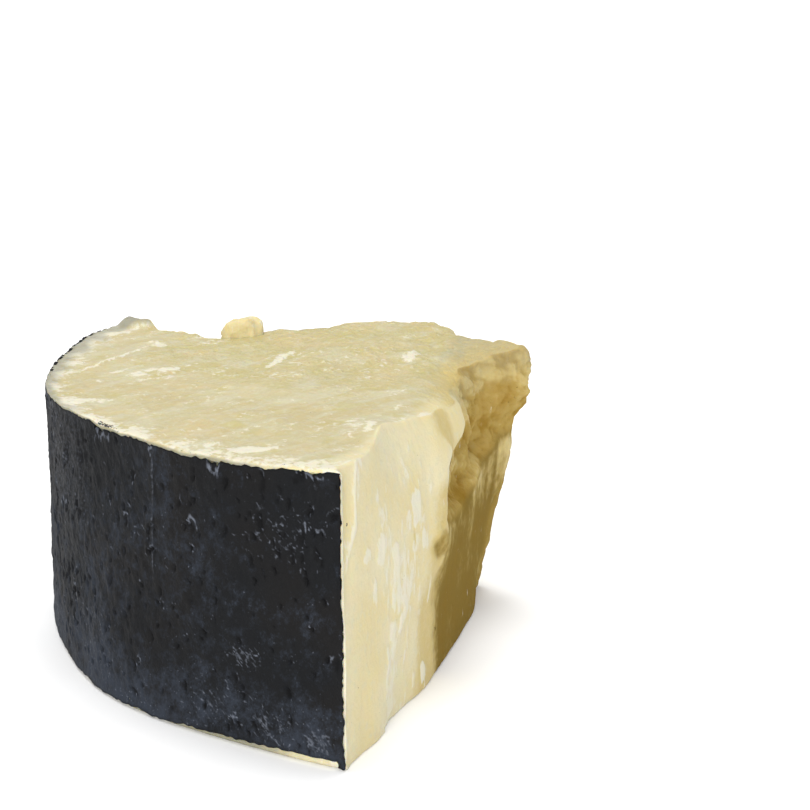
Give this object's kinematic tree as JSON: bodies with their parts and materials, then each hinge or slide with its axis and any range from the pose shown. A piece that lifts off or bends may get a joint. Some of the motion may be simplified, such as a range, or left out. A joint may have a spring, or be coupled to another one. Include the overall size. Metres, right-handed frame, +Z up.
{
  "type": "pecorino romano block",
  "caption": "Quarter block of hard grating cheese with a dark coated rind, a sawn top and a cut side that breaks up into crags.",
  "frame": {"origin": "middle of the bounding box, on the flat foot that the block stands on", "axes": "+Z up, -Y towards the curved rind, +X towards the rind's end by the knife cut"},
  "size_m": [0.2192, 0.1538, 0.0853],
  "materials": {
    "paste": "pale ivory granular hard cheese, matt where it is cut and waxy where it is broken",
    "rind": "thin charcoal coating on the rind, matt, pitted, with a grey bloom"
  },
  "bodies": {
    "root": {"cheese": "paste"}
  },
  "joints": []
}
